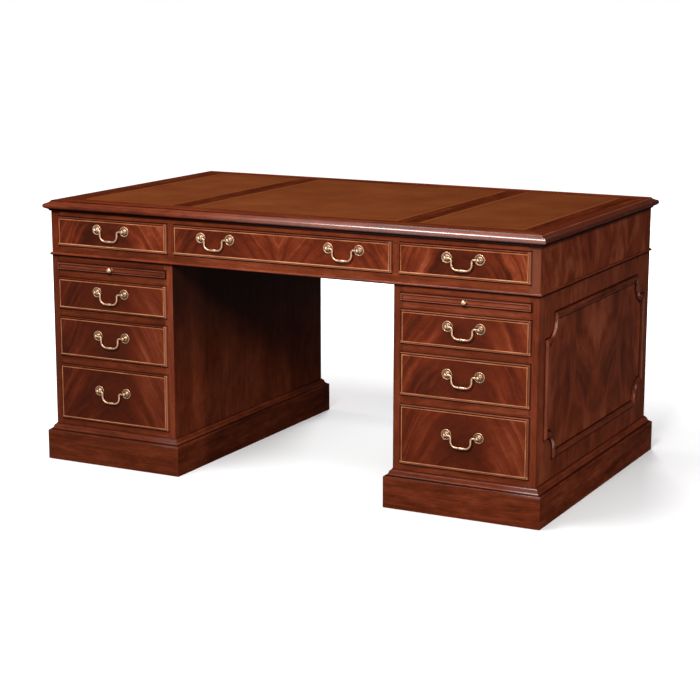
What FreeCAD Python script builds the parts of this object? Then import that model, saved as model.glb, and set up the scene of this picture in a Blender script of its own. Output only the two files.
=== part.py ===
import FreeCAD
import Part

import math
import os

# A mahogany partners desk. It stands on its plinths at z = 0, centred on the origin, with its
# long side along X and its main front towards -Y. Lengths are in millimetres.

# Overall sizes
desk_height = 762.0
case_width = 1502.0
case_depth = 879.0
kneehole_width = 685.0
frieze_height = 128.0
top_thickness = 30.0
overrun = 5.0  # how far a cutting shape passes the piece that it cuts

# Clearances of what slides
closed_gap = 0.3  # behind a lip, and under a drawer or slide
side_gap = 1.0
head_gap = 1.5
back_gap = 12.0

# Boards and strips of the carcass
rail_depth = 22.0
board_thickness = 12.0
partition_thickness = 19.0
guide_height = 14.0
kicker_width = 16.0

# Moulded edge of the top, and the leather let into it
top_overhang = 18.0
edging_width = 30.0
arris_height = 1.0
hollow_drop = 7.0
hollow_middle_shares = (0.42, 0.34)  # where the hollow's arc passes, of its run and its drop
quirk = 1.0
cove_radius = 6.0
end_border = 71.0
front_border = 59.5
cross_border = 60.0
centre_leather_width = 640.0
leather_thickness = 1.6
leather_sink = 0.2

# Frieze front: what shows of the frame round the drawers
frieze_end_reveal = 25.0
frieze_top_reveal = 15.0
frieze_foot_reveal = 29.5
muntin_reveal = 21.5
centre_drawer_width = 673.0
bead_height = 8.0
bead_projection = 5.0

# Pedestal front, from the top down
pedestal_top_reveal = 19.0
slide_height = 20.5
slide_rail_reveal = 23.5
upper_rail_reveal = 23.0
lower_rail_reveal = 25.0
foot_rail_reveal = 18.0
stile_reveal = 21.25
drawer_height_shares = (91, 116, 162)  # how the drawers share the height between the rails, from the top

# Pedestal inside and rear cupboard
cupboard_depth = 310.0
shelf_level = 350.0
shelf_gap = 1.0
shelf_setback = 12.0
cleat_size = 15.0
case_foot = 30.0  # the boards of the case end this far above the floor, inside the plinth

# Plinth: a plain block with a bead, a quirk and an ogee above it
plinth_block_height = 84.0
plinth_moulding_height = 22.0
plinth_projection = 20.0
plinth_bead = 4.0
plinth_fillet = 2.0
ogee_shares = ((0.33, 0.20), (0.52, 0.50), (0.68, 0.80))

# Applied panel moulding with indented corners
panel_end_margin = 46.0
panel_head_margin = 57.0
panel_foot_margin = 53.0
indent_land = 4.0  # the straight stub beside each hollow corner
indent_radius = 40.0
moulding_width = 18.0
moulding_height = 8.0
moulding_outer_shares = ((0.0, 0.0), (0.0, 0.30), (0.07, 0.62), (0.20, 0.88), (0.36, 1.0))
moulding_inner_shares = ((1.0, 0.0), (1.0, 0.38), (0.84, 0.42), (0.68, 0.56), (0.58, 0.80), (0.46, 1.0))

# Drawers
lip_overlap = 6.0
lip_thickness = 7.0
lip_round = 4.0
lip_border = 4.5  # from a lip's edge to the raised field
lip_quirk = 0.8  # how far the field stands above its lip
front_tongue = 13.0  # what of the front stands inside the opening
drawer_side = 11.0
drawer_bottom = 6.0
groove_depth = 5.0
groove_height = 8.0
side_drop = 5.0
tail_length = 9.0
tail_pitch = 30.0
tail_flare = 2.0
tail_width_share = 0.5

# Handles
post_spacing = 92.0
handle_rise = 12.5
bottom_handle_rise = 15.0
centre_handle_offset = 198.0
rosette_radius = 14.5
rosette_thickness = 3.2
rosette_rim_shares = ((1.0, 0.30), (0.93, 0.98), (0.80, 0.62))
rosette_dish_shares = ((0.62, 0.44), (0.46, 0.78), (0.42, 1.0))
bolt_radius = 2.5
bolt_clearance = 0.1
bolt_end = 1.5
nut_radius = 5.0
nut_thickness = 4.0
collar_radius = 4.6
collar_height = 2.0
neck_radius = 3.0
head_radius = 5.5
pivot_standoff = 12.5
pin_radius = 1.9
pin_clearance = 0.05
pin_end_gap = 1.0
bore_depth = 7.5
bail_radius = 2.5
bail_shoulder_gap = 0.5
bail_stub = 6.0  # straight part of the bail between its shoulder and the bend of its neck
bail_drop = 30.0
neck_bend = 5.5
grip_bend = 16.5
swell_length = 20.0
swell_radius = 3.5
collar_ring_width = 2.0
collar_ring_radius = 3.4

# Writing slides and brass knobs
slide_lip = 3.0
slide_back_gap = 87.0
slide_reed = 4.5
knob_radius = 8.0
knob_neck_radius = 3.5
knob_neck_length = 0.6
knob_flange_radius = 5.5
knob_flange_thickness = 1.0
shank_radius = 2.0
shank_length = 12.0

# Cupboard doors and their butt hinges
door_thickness = 20.0
door_gap = 1.5
door_margin_share = 0.113  # of the opening's width, round the moulding of the door
door_knob_inset = 21.0
hinge_length = 64.0
hinge_inset = 62.0
hinge_leaf = 1.5
hinge_leaf_margin = 3.0  # of the door's thickness that a leaf leaves uncovered
hinge_leaf_gap = 0.2
barrel_radius = 4.0
barrel_clearance = 0.5
hinge_pin_radius = 1.6
knuckle_gap = 0.3
knuckle_share = 0.3  # of the hinge's length, for each of the two outer knuckles

# Planes and levels that the pieces share
V = FreeCAD.Vector
half_width = case_width / 2
half_depth = case_depth / 2
frieze_top = desk_height - top_thickness
frieze_foot = frieze_top - frieze_height
side_board = stile_reveal + lip_overlap
frieze_end = frieze_end_reveal + lip_overlap
muntin_width = muntin_reveal + 2 * lip_overlap
pedestal_inner = kneehole_width / 2
pedestal_centre = (pedestal_inner + half_width) / 2
opening_left = pedestal_inner + side_board
opening_right = half_width - side_board
rail_back = half_depth - rail_depth
plinth_top = plinth_block_height + plinth_moulding_height
face_plane = half_depth + closed_gap + lip_thickness
spine_face = board_thickness / 2
partition_rear = half_depth - cupboard_depth
partition_front = partition_rear - board_thickness
runner_level = frieze_foot + frieze_foot_reveal + lip_overlap
frieze_head = frieze_top - frieze_top_reveal - lip_overlap
hinge_leaf_back = half_depth - door_thickness + hinge_leaf_margin

# Heights of the pedestal's visible lips, each as (low, high)
slide_high = frieze_foot - pedestal_top_reveal
slide_span = (slide_high - slide_height, slide_high)
top_span_high = slide_span[0] - slide_rail_reveal
bottom_span_low = plinth_top + foot_rail_reveal
drawer_room = top_span_high - bottom_span_low - upper_rail_reveal - lower_rail_reveal
drawer_heights = [drawer_room * share / sum(drawer_height_shares) for share in drawer_height_shares]
top_span = (top_span_high - drawer_heights[0], top_span_high)
middle_span_high = top_span[0] - upper_rail_reveal
middle_span = (middle_span_high - drawer_heights[1], middle_span_high)
bottom_span = (bottom_span_low, bottom_span_low + drawer_heights[2])

# The same heights as openings in the frame, from the top down
slide_opening = (slide_span[0] + slide_lip, slide_span[1] - slide_lip)
drawer_openings = [(low + lip_overlap, high - lip_overlap)
                   for low, high in (top_span, middle_span, bottom_span)]
floor_level = drawer_openings[-1][0]
ceiling_level = frieze_foot - board_thickness


def box(x0, x1, y0, y1, z0, z1):
    return Part.makeBox(x1 - x0, y1 - y0, z1 - z0, V(x0, y0, z0))


def trace(place, start, *steps):
    """A closed face: each step is [end] for a line or [middle, end] for an arc."""
    edges = []
    here = place(*start)
    for step in steps + ([start],):
        there = place(*step[-1])
        if len(step) == 1:
            edges.append(Part.LineSegment(here, there).toShape())
        else:
            edges.append(Part.Arc(here, place(*step[0]), there).toShape())
        here = there
    return Part.Face(Part.Wire(edges))


def mirrored(shape):
    return shape.mirror(V(0, 0, 0), V(1, 0, 0))


def turned_about(shape, degrees):
    copy = shape.copy()
    copy.rotate(V(0, 0, 0), V(0, 0, 1), degrees)
    return copy


def section(start, *steps):
    """A moulding's section, written as (out from the face, height)."""
    return trace(lambda out, height: V(0, -out, height), start, *steps)


def mitred_frame(moulding, width, depth):
    """Four lengths of a moulding, mitred round a rectangle."""
    bounds = moulding.BoundBox
    out = overrun - bounds.YMin
    back = overrun + bounds.YMax
    lengths = []
    for quarter in range(4):
        length, standoff = (width, depth / 2) if quarter % 2 == 0 else (depth, width / 2)
        bar = moulding.extrude(V(length + 2 * out, 0, 0))
        bar.translate(V(-length / 2 - out, -standoff, 0))
        outer = length / 2 + out
        inner = length / 2 - back
        plan = [V(-outer, -standoff - out, bounds.ZMin), V(outer, -standoff - out, bounds.ZMin),
                V(inner, back - standoff, bounds.ZMin), V(-inner, back - standoff, bounds.ZMin)]
        wedge = Part.Face(Part.makePolygon(plan + plan[:1])).extrude(V(0, 0, bounds.ZLength))
        lengths.append(turned_about(bar.common(wedge), quarter * 90).Solids[0])
    return lengths


def top_edge():
    """The mitred edging: a hollow, a quirk, a round nose and a small cove under it."""
    nose_radius = (top_thickness - hollow_drop - 2 * quirk - cove_radius) / 2
    nose_out = top_overhang - nose_radius
    hollow_foot = desk_height - hollow_drop
    nose_top = hollow_foot - quirk
    nose_middle = nose_top - nose_radius
    nose_foot = nose_middle - nose_radius
    diagonal = cove_radius * math.sqrt(0.5)
    hollow_run = nose_out - quirk
    run_share, drop_share = hollow_middle_shares
    hollow_middle = (hollow_run * run_share, hollow_foot + hollow_drop * drop_share)
    moulding = section(
        (-edging_width, frieze_top),
        [(nose_out - cove_radius, frieze_top)],
        [(nose_out - diagonal, frieze_top + diagonal), (nose_out, frieze_top + cove_radius)],
        [(nose_out, nose_foot)],
        [(top_overhang, nose_middle), (nose_out, nose_top)],
        [(hollow_run, nose_top)],
        [(hollow_run, hollow_foot)],
        [hollow_middle, (0, desk_height - arris_height)],
        [(0, desk_height)],
        [(-edging_width, desk_height)])
    return mitred_frame(moulding, case_width, case_depth)


def leather_spans():
    """Left and right edge of each of the three leathers."""
    centre = centre_leather_width / 2
    near = centre + cross_border
    far = half_width - end_border
    return ((-far, -near), (-centre, centre), (near, far))


def top_board():
    """The core of the top, with a shallow recess for each leather."""
    x = half_width - edging_width
    y = half_depth - edging_width
    board = box(-x, x, -y, y, frieze_top, desk_height)
    bed = desk_height - leather_sink - leather_thickness
    leather_y = half_depth - front_border
    for left, right in leather_spans():
        board = board.cut(box(left, right, -leather_y, leather_y, bed, desk_height + overrun))
    return board


def leathers():
    high = desk_height - leather_sink
    y = half_depth - front_border
    return [box(left, right, -y, y, high - leather_thickness, high) for left, right in leather_spans()]


def frieze_openings():
    """Left and right edge of the three visible drawer lips of the frieze."""
    centre = centre_drawer_width / 2
    near = centre + muntin_reveal
    far = half_width - frieze_end_reveal
    return ((-far, -near), (-centre, centre), (near, far))


def frieze_frame():
    """Front and rear rails with the muntins between the drawers."""
    x = half_width - frieze_end
    muntin = centre_drawer_width / 2 - lip_overlap
    front = [box(-x, x, -half_depth, -rail_back, frieze_head, frieze_top),
             box(-x, x, -half_depth, -rail_back, frieze_foot, runner_level)]
    for left in (-muntin - muntin_width, muntin):
        front.append(box(left, left + muntin_width, -half_depth, -rail_back, runner_level, frieze_head))
    return front + [turned_about(piece, 180) for piece in front]


def frieze_case():
    """Ends, dust board and spine, and the partitions, guides and kickers of each row of drawers."""
    x = half_width - frieze_end
    pieces = [box(x, half_width, -half_depth, half_depth, frieze_foot, frieze_top),
              box(-half_width, -x, -half_depth, half_depth, frieze_foot, frieze_top),
              box(-x, x, -rail_back, rail_back, runner_level - board_thickness, runner_level),
              box(-x, x, -spine_face, spine_face, runner_level, frieze_top)]
    row = []
    guide = (muntin_width - partition_thickness) / 2
    for side in (-1, 1):
        middle = side * (centre_drawer_width + muntin_reveal) / 2
        left = middle - partition_thickness / 2
        right = middle + partition_thickness / 2
        row.append(box(left, right, -rail_back, -spine_face, runner_level, frieze_top))
        for edge in (left - guide, right):
            row.append(box(edge, edge + guide, -rail_back, -spine_face,
                           runner_level, runner_level + guide_height))
    for left, right in frieze_openings():
        for edge in (left + lip_overlap, right - lip_overlap - kicker_width):
            row.append(box(edge, edge + kicker_width, -rail_back, -spine_face, frieze_head, frieze_top))
    return pieces + row + [turned_about(piece, 180) for piece in row]


def waist_bead():
    """The half-round bead that covers the joint between the frieze and the pedestals."""
    radius = bead_height / 2
    crown = bead_projection - radius
    bead_top = frieze_foot + bead_height
    moulding = section((0, frieze_foot), [(crown, frieze_foot)],
                       [(bead_projection, frieze_foot + radius), (crown, bead_top)], [(0, bead_top)])
    return mitred_frame(moulding, case_width, case_depth)


def pedestal_frame():
    """Rails of the right pedestal: five at the front and two at the rear."""
    levels = [(slide_opening[1], frieze_foot), (drawer_openings[0][1], slide_opening[0])]
    for upper, lower in zip(drawer_openings, drawer_openings[1:]):
        levels.append((lower[1], upper[0]))
    levels.append((case_foot, floor_level))
    front = [box(opening_left, opening_right, -half_depth, -rail_back, low, high) for low, high in levels]
    rear = [box(opening_left, opening_right, rail_back, half_depth, low, high)
            for low, high in (levels[0], levels[-1])]
    return front + rear


def pedestal_case():
    """Sides, boards, partition, kickers and shelf of the right pedestal."""
    outer = box(opening_right, half_width, -half_depth, half_depth, case_foot, frieze_foot)
    for low, high in hinge_heights():
        outer = outer.cut(hinge_mortise(low, high))
    pieces = [outer, box(pedestal_inner, opening_left, -half_depth, half_depth, case_foot, frieze_foot)]
    boards = [(floor_level, rail_back), (frieze_foot, rail_back), (slide_opening[0], partition_front)]
    boards += [(low, partition_front) for low, high in drawer_openings[:-1]]
    for level, rear in boards:
        pieces.append(box(opening_left, opening_right, -rail_back, rear, level - board_thickness, level))
    pieces.append(box(opening_left, opening_right, partition_front, partition_rear,
                      floor_level, ceiling_level))
    heads = [slide_opening[1]] + [high for low, high in drawer_openings]
    undersides = [ceiling_level, slide_opening[0] - board_thickness]
    undersides += [low - board_thickness for low, high in drawer_openings[:-1]]
    for head, underside in zip(heads, undersides):
        for left in (opening_left, opening_right - kicker_width):
            pieces.append(box(left, left + kicker_width, -rail_back, partition_front, head, underside))
    shelf_front = half_depth - door_thickness - shelf_setback
    for left in (opening_left, opening_right - cleat_size):
        pieces.append(box(left, left + cleat_size, partition_rear, shelf_front,
                          shelf_level - cleat_size, shelf_level))
    pieces.append(box(opening_left + shelf_gap, opening_right - shelf_gap, partition_rear, shelf_front,
                      shelf_level, shelf_level + board_thickness))
    return pieces


def plinth():
    """Mitred plinth boards of the right pedestal, with a bead, a quirk and an ogee at their top."""
    bead_foot = plinth_block_height
    bead_out = plinth_projection - plinth_bead
    bead_top = bead_foot + plinth_bead
    diagonal = plinth_bead * math.sqrt(0.5)
    ogee_out = bead_out - quirk
    ogee_foot = bead_top + quirk
    ogee_top = plinth_top - plinth_fillet
    run = ogee_out - plinth_fillet
    rise = ogee_top - ogee_foot
    hollow, turn, swell = [(ogee_out - run * out, ogee_foot + rise * up) for out, up in ogee_shares]
    moulding = section(
        (0, 0),
        [(plinth_projection, 0)],
        [(plinth_projection, bead_foot)],
        [(bead_out + diagonal, bead_foot + diagonal), (bead_out, bead_top)],
        [(ogee_out, bead_top)],
        [(ogee_out, ogee_foot)],
        [hollow, turn],
        [swell, (plinth_fillet, ogee_top)],
        [(plinth_fillet, plinth_top)],
        [(0, plinth_top)])
    lengths = mitred_frame(moulding, half_width - pedestal_inner, case_depth)
    for length in lengths:
        length.translate(V(pedestal_centre, 0, 0))
    return lengths


def indented_outline(place, half_run, half_rise, inset, out):
    """A rectangle whose corners step in and turn about a hollow quarter round."""
    indent_step = moulding_width + indent_land
    cut = indent_step + indent_radius
    radius = indent_radius + inset
    diagonal = radius * math.sqrt(0.5)
    edges = []
    points = []
    for index, (across, up) in enumerate(((1, -1), (1, 1), (-1, 1), (-1, -1))):
        centre = (half_run - indent_step, half_rise - indent_step)
        corner = [(half_run - cut - inset, half_rise - inset), (centre[0] - radius, centre[1]),
                  (centre[0] - diagonal, centre[1] - diagonal),
                  (centre[0], centre[1] - radius), (half_run - inset, half_rise - cut - inset)]
        if index % 2 == 1:
            corner.reverse()
        points.append([place(across * along, up * above, out) for along, above in corner])
    for index, corner in enumerate(points):
        edges.append(Part.LineSegment(points[index - 1][-1], corner[0]).toShape())
        edges.append(Part.LineSegment(corner[0], corner[1]).toShape())
        edges.append(Part.Arc(corner[1], corner[2], corner[3]).toShape())
        edges.append(Part.LineSegment(corner[3], corner[4]).toShape())
    return Part.Wire(edges)


def panel_moulding(place, half_run, half_rise):
    """The moulding's ring: its outer slopes as a solid, less what lies inside its inner slopes."""
    def slopes(shares):
        wires = [indented_outline(place, half_run, half_rise, across * moulding_width, up * moulding_height)
                 for across, up in shares]
        return Part.makeLoft(wires, True, True)
    return slopes(moulding_outer_shares).cut(slopes(moulding_inner_shares)).Solids[0]


def side_panel_moulding():
    """The moulding on the outer side of the right pedestal."""
    low = plinth_top + panel_foot_margin
    high = frieze_foot - panel_head_margin
    middle = (low + high) / 2
    return panel_moulding(lambda along, above, out: V(half_width + out, along, middle + above),
                          half_depth - panel_end_margin, (high - low) / 2)


def dovetails(x0, x1, low, high, root):
    """Tails that run from a drawer side into the back of the front, wider at their ends."""
    count = max(2, round((high - low) / tail_pitch))
    pitch = (high - low) / count
    narrow = pitch * tail_width_share / 2
    tails = []
    for index in range(count):
        middle = low + pitch * (index + 0.5)
        plan = [V(x0, root, middle - narrow), V(x0, root, middle + narrow),
                V(x0, root - tail_length, middle + narrow + tail_flare),
                V(x0, root - tail_length, middle - narrow - tail_flare)]
        tails.append(Part.Face(Part.makePolygon(plan + plan[:1])).extrude(V(x1 - x0, 0, 0)))
    return tails


def drawer(left, right, low, high, back, handles):
    """A drawer by its visible lip: front with a raised field, two sides, back and bottom."""
    x0 = left + lip_overlap + side_gap
    x1 = right - lip_overlap - side_gap
    z0 = low + lip_overlap + closed_gap
    z1 = high - lip_overlap - head_gap
    lip_back = -half_depth - closed_gap
    root = front_tongue - half_depth
    lip_face = lip_quirk - face_plane
    lip = box(left, right, lip_face, lip_back, low, high)
    rim = [edge for edge in lip.Edges if edge.BoundBox.YMax < lip_back - lip_thickness / 2]
    lip = lip.makeFillet(lip_round, rim)
    field = box(left + lip_border, right - lip_border, -face_plane, lip_face, low + lip_border, high - lip_border)
    front = lip.fuse(field).fuse(box(x0, x1, lip_back, root, z0, z1))
    for handle_x, handle_z in handles:
        for post_x in (handle_x - post_spacing / 2, handle_x + post_spacing / 2):
            front = front.cut(Part.makeCylinder(bolt_radius + bolt_clearance, face_plane + root + 2 * overrun,
                                                V(post_x, -face_plane - overrun, handle_z), V(0, 1, 0)))
    side_top = z1 - side_drop
    groove_low = z0 + groove_height
    groove_high = groove_low + drawer_bottom
    inner_left = x0 + drawer_side
    inner_right = x1 - drawer_side
    bottom = box(inner_left - groove_depth, inner_right + groove_depth, root, back, groove_low, groove_high)
    tongue = box(inner_left, inner_right, root - groove_depth, root, groove_low, groove_high)
    bottom = bottom.fuse(tongue).removeSplitter()
    sides = []
    for side_left in (x0, inner_right):
        side = box(side_left, side_left + drawer_side, root, back, z0, side_top)
        tails = dovetails(side_left, side_left + drawer_side, z0, side_top, root)
        sides.append(side.fuse(tails).removeSplitter().cut(bottom))
        front = front.cut(tails)
    front = front.cut(bottom).removeSplitter()
    rear = box(inner_left, inner_right, back - drawer_side, back, groove_high, side_top)
    return [piece.Solids[0] for piece in [front] + sides + [rear, bottom]]


def turned_piece(x, z, start, *steps):
    """A turned brass piece on the front at (x, z), written as (radius, out from the front's face)."""
    face = trace(lambda radius, out: V(x, -face_plane - out, z + radius), start, *steps)
    return face.revolve(V(x, -face_plane, z), V(0, 1, 0), 360)


def rosette(x, z):
    hole = bolt_radius + bolt_clearance
    points = [(rosette_radius * across, rosette_thickness * up)
              for across, up in rosette_rim_shares + rosette_dish_shares]
    rim_edge, rim_crest, rim_foot, dish, boss_foot, boss_top = points
    return turned_piece(x, z, (hole, 0), [(rosette_radius, 0)], [rim_edge], [rim_crest, rim_foot],
                        [dish, boss_foot], [boss_top], [(hole, rosette_thickness)])


def post(x, z, inward):
    """A turned post with a bolt for a tail, and a bore in its head for the bail's pin."""
    tail = -(lip_thickness + closed_gap + front_tongue + nut_thickness + bolt_end)
    collar_top = rosette_thickness + collar_height
    head_foot = pivot_standoff - math.sqrt(head_radius ** 2 - neck_radius ** 2)
    stem = turned_piece(x, z, (0, tail), [(bolt_radius, tail)], [(bolt_radius, rosette_thickness)],
                        [(collar_radius, rosette_thickness)], [(neck_radius, collar_top)],
                        [(neck_radius, head_foot)],
                        [(head_radius, pivot_standoff), (0, pivot_standoff + head_radius)])
    mouth = V(x + inward * (head_radius + overrun), -face_plane - pivot_standoff, z)
    bore = Part.makeCylinder(pin_radius + pin_clearance, bore_depth + overrun, mouth, V(-inward, 0, 0))
    return stem.cut(bore).Solids[0]


def nut(x, z):
    inner = front_tongue - half_depth
    corners = [V(x + nut_radius * math.cos(math.radians(60 * k)), inner,
                 z + nut_radius * math.sin(math.radians(60 * k))) for k in range(6)]
    block = Part.Face(Part.makePolygon(corners + corners[:1])).extrude(V(0, nut_thickness, 0))
    hole = Part.makeCylinder(bolt_radius + bolt_clearance, nut_thickness + 2 * overrun,
                             V(x, inner - overrun, z), V(0, 1, 0))
    return block.cut(hole)


def handle_mounts(x, z):
    pieces = []
    for side in (-1, 1):
        post_x = x + side * post_spacing / 2
        pieces += [rosette(post_x, z), post(post_x, z, -side), nut(post_x, z)]
    return pieces


def bail(x, z):
    """A swan-neck bail: a bent rod with turned pins, and a swelling between two collars on its grip."""
    y = -face_plane - pivot_standoff
    shoulder = post_spacing / 2 - head_radius - bail_shoulder_gap
    arm = shoulder - bail_stub - neck_bend
    grip = arm - grip_bend
    neck_corner = neck_bend * (1 - math.sqrt(0.5))
    grip_corner = grip_bend * (1 - math.sqrt(0.5))
    half = [[(arm + neck_bend, 0)], [(arm + neck_corner, -neck_corner), (arm, -neck_bend)],
            [(arm, grip_bend - bail_drop)],
            [(arm - grip_corner, grip_corner - bail_drop), (grip, -bail_drop)]]
    edges = []
    here = (shoulder, 0)
    for step in half:
        start = V(x + here[0], y, z + here[1])
        end = V(x + step[-1][0], y, z + step[-1][1])
        if len(step) == 1:
            edges.append(Part.LineSegment(start, end).toShape())
        else:
            edges.append(Part.Arc(start, V(x + step[0][0], y, z + step[0][1]), end).toShape())
        here = step[-1]
    other = [edge.mirror(V(x, y, z), V(1, 0, 0)) for edge in edges]
    middle = Part.LineSegment(V(x + grip, y, z - bail_drop), V(x - grip, y, z - bail_drop)).toShape()
    path = Part.Wire(Part.__sortEdges__(edges + [middle] + other))
    ring = Part.Wire(Part.makeCircle(bail_radius, V(x + shoulder, y, z), V(1, 0, 0)))
    rod = path.makePipeShell([ring], True, False)
    for side in (-1, 1):
        pin = Part.makeCylinder(pin_radius, bail_shoulder_gap + bore_depth - pin_end_gap,
                                V(x + side * shoulder, y, z), V(side, 0, 0))
        rod = rod.fuse(pin)
    end = swell_length / 2
    ring_inner = end - collar_ring_width
    swell = trace(lambda along, radius: V(x + along, y, z - bail_drop + radius), (-end, 0),
                  [(-end, collar_ring_radius)], [(-ring_inner, collar_ring_radius)],
                  [(-ring_inner, bail_radius)], [(0, swell_radius), (ring_inner, bail_radius)],
                  [(ring_inner, collar_ring_radius)],
                  [(end, collar_ring_radius)], [(end, 0)])
    turned = swell.revolve(V(x, y, z - bail_drop), V(1, 0, 0), 360)
    return rod.fuse(turned).removeSplitter().Solids[0]


def knob(x, z, out_plane):
    """A ball knob with a flange and a shank, on a front face at the given distance from the middle."""
    ball_foot = knob_flange_thickness + knob_neck_length
    ball_middle = ball_foot + math.sqrt(knob_radius ** 2 - knob_neck_radius ** 2)
    face = trace(lambda radius, out: V(x, -out_plane - out, z + radius), (0, -shank_length),
                 [(shank_radius, -shank_length)], [(shank_radius, 0)], [(knob_flange_radius, 0)],
                 [(knob_neck_radius, knob_flange_thickness)], [(knob_neck_radius, ball_foot)],
                 [(knob_radius, ball_middle), (0, ball_middle + knob_radius)])
    return face.revolve(V(x, -out_plane, z), V(0, 1, 0), 360)


def knob_hole(x, z, out_plane):
    return Part.makeCylinder(shank_radius + bolt_clearance, shank_length + bolt_clearance + overrun,
                             V(x, -out_plane - overrun, z), V(0, 1, 0))


def writing_slide():
    """The right slide: a board behind a front strip with a reed along each edge."""
    low, high = slide_span
    middle = (low + high) / 2
    lip_back = -half_depth - closed_gap
    left = opening_left - lip_overlap
    right = opening_right + lip_overlap
    strip = box(left, right, -face_plane, lip_back, low, high)
    hollow = box(left + slide_reed, right - slide_reed, -face_plane - overrun, lip_back - lip_thickness / 2,
                 low + slide_reed, high - slide_reed)
    rim = [edge for edge in strip.Edges if edge.BoundBox.YMax < lip_back - lip_thickness / 2]
    strip = strip.makeFillet(slide_reed / 2, rim).cut(hollow)
    board = box(opening_left + side_gap, opening_right - side_gap, lip_back, partition_front - slide_back_gap,
                slide_opening[0] + closed_gap, slide_opening[1] - closed_gap)
    hole = knob_hole(pedestal_centre, middle, half_depth + closed_gap + lip_thickness / 2)
    return [strip.cut(hole).Solids[0], board.cut(hole).Solids[0]]


def slide_knob():
    return knob(pedestal_centre, sum(slide_span) / 2, half_depth + closed_gap + lip_thickness / 2)


def door_opening():
    return opening_left, opening_right, floor_level, slide_opening[1]


def hinge_heights():
    """Low and high end of each of a door's two hinges."""
    left, right, low, high = door_opening()
    return ((low + hinge_inset, low + hinge_inset + hinge_length),
            (high - hinge_inset - hinge_length, high - hinge_inset))


def hinge_axis():
    return opening_right - door_gap / 2, half_depth + barrel_radius + barrel_clearance


def hinge_mortise(low, high):
    """Where both leaves of a hinge lie: across the gap, and into the door and the side."""
    axis_x, axis_y = hinge_axis()
    reach = hinge_leaf_gap / 2 + hinge_leaf
    return box(axis_x - reach, axis_x + reach, hinge_leaf_back, half_depth + overrun, low, high)


def hinge_half(low, high, side, spans):
    """One leaf with its knuckles: side is 1 on the case and -1 on the door."""
    axis_x, axis_y = hinge_axis()
    near = axis_x + side * hinge_leaf_gap / 2
    far = near + side * hinge_leaf
    plate = box(min(near, far), max(near, far), hinge_leaf_back, half_depth, low, high)
    for foot, head in spans:
        tab = box(min(near, far), max(near, far), half_depth, axis_y, foot, head)
        barrel = Part.makeCylinder(barrel_radius, head - foot, V(axis_x, axis_y, foot))
        plate = plate.fuse([tab, barrel])
    return plate.removeSplitter()


def hinge(low, high):
    """The case's half with two bored knuckles, and the door's half with its knuckle and the pin."""
    axis_x, axis_y = hinge_axis()
    length = high - low
    lower = (low, low + length * knuckle_share)
    upper = (high - length * knuckle_share, high)
    middle = (lower[1] + knuckle_gap, upper[0] - knuckle_gap)
    case_half = hinge_half(low, high, 1, (lower, upper))
    bore = Part.makeCylinder(hinge_pin_radius + pin_clearance, length + 2 * overrun,
                             V(axis_x, axis_y, low - overrun))
    pin = Part.makeCylinder(hinge_pin_radius, length, V(axis_x, axis_y, low))
    door_half = hinge_half(low, high, -1, (middle,)).fuse(pin).removeSplitter()
    return case_half.cut(bore).Solids[0], door_half.Solids[0]


def door_knob_place():
    left, right, low, high = door_opening()
    return left + door_gap + door_knob_inset, (low + high) / 2


def door():
    """The right cupboard door, with its applied moulding."""
    left, right, low, high = door_opening()
    leaf = box(left + door_gap, right - door_gap, half_depth - door_thickness, half_depth,
               low + door_gap, high - door_gap)
    for foot, head in hinge_heights():
        leaf = leaf.cut(hinge_mortise(foot, head))
    knob_x, knob_z = door_knob_place()
    leaf = leaf.cut(turned_about(knob_hole(-knob_x, knob_z, half_depth), 180))
    middle = (low + high) / 2
    margin = (right - left) * door_margin_share
    moulding = panel_moulding(
        lambda along, above, out: V(pedestal_centre - along, half_depth + out, middle + above),
        (right - left) / 2 - margin, (high - low) / 2 - margin)
    return [leaf.Solids[0], moulding]


def door_fittings():
    knob_x, knob_z = door_knob_place()
    pieces = [turned_about(knob(-knob_x, knob_z, half_depth), 180)]
    return pieces + [hinge(low, high)[1] for low, high in hinge_heights()]


def hinge_leaves():
    """The halves of the hinges that stay on the right pedestal."""
    return [hinge(low, high)[0] for low, high in hinge_heights()]


nodes = {
    "top_board": [top_board()],
    "top_edging": top_edge(),
    "leathers": leathers(),
    "frieze_frame": frieze_frame(),
    "frieze_case": frieze_case(),
    "waist_bead": waist_bead(),
}

right_pieces = {
    "pedestal_frame": pedestal_frame(),
    "pedestal_case": pedestal_case(),
    "plinth": plinth(),
    "slide": writing_slide(),
    "slide_knob": [slide_knob()],
    "door": door(),
    "door_fittings": door_fittings(),
}
for name, pieces in right_pieces.items():
    nodes["right_" + name] = pieces
    nodes["left_" + name] = [mirrored(piece) for piece in pieces]
for name, pieces in (("panel_mouldings", [side_panel_moulding()]), ("hinge_leaves", hinge_leaves())):
    nodes[name] = pieces + [mirrored(piece) for piece in pieces]


def add_drawer(name, left, right, span, back, handle_xs, rise, degrees):
    """Put a drawer, its handle mounts and its bails among the nodes, turned to face its side."""
    low, high = span
    level = (low + high) / 2 + rise
    handles = [(x, level) for x in handle_xs]
    mounts = [piece for x, z in handles for piece in handle_mounts(x, z)]
    nodes[name] = [turned_about(piece, degrees) for piece in drawer(left, right, low, high, back, handles)]
    nodes[name + "_mounts"] = [turned_about(piece, degrees) for piece in mounts]
    for x, z in handles:
        piece = turned_about(bail(x, z), degrees)
        ending = "" if len(handles) == 1 else "_left" if piece.BoundBox.Center.x < 0 else "_right"
        nodes[name + "_bail" + ending] = [piece]


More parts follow.
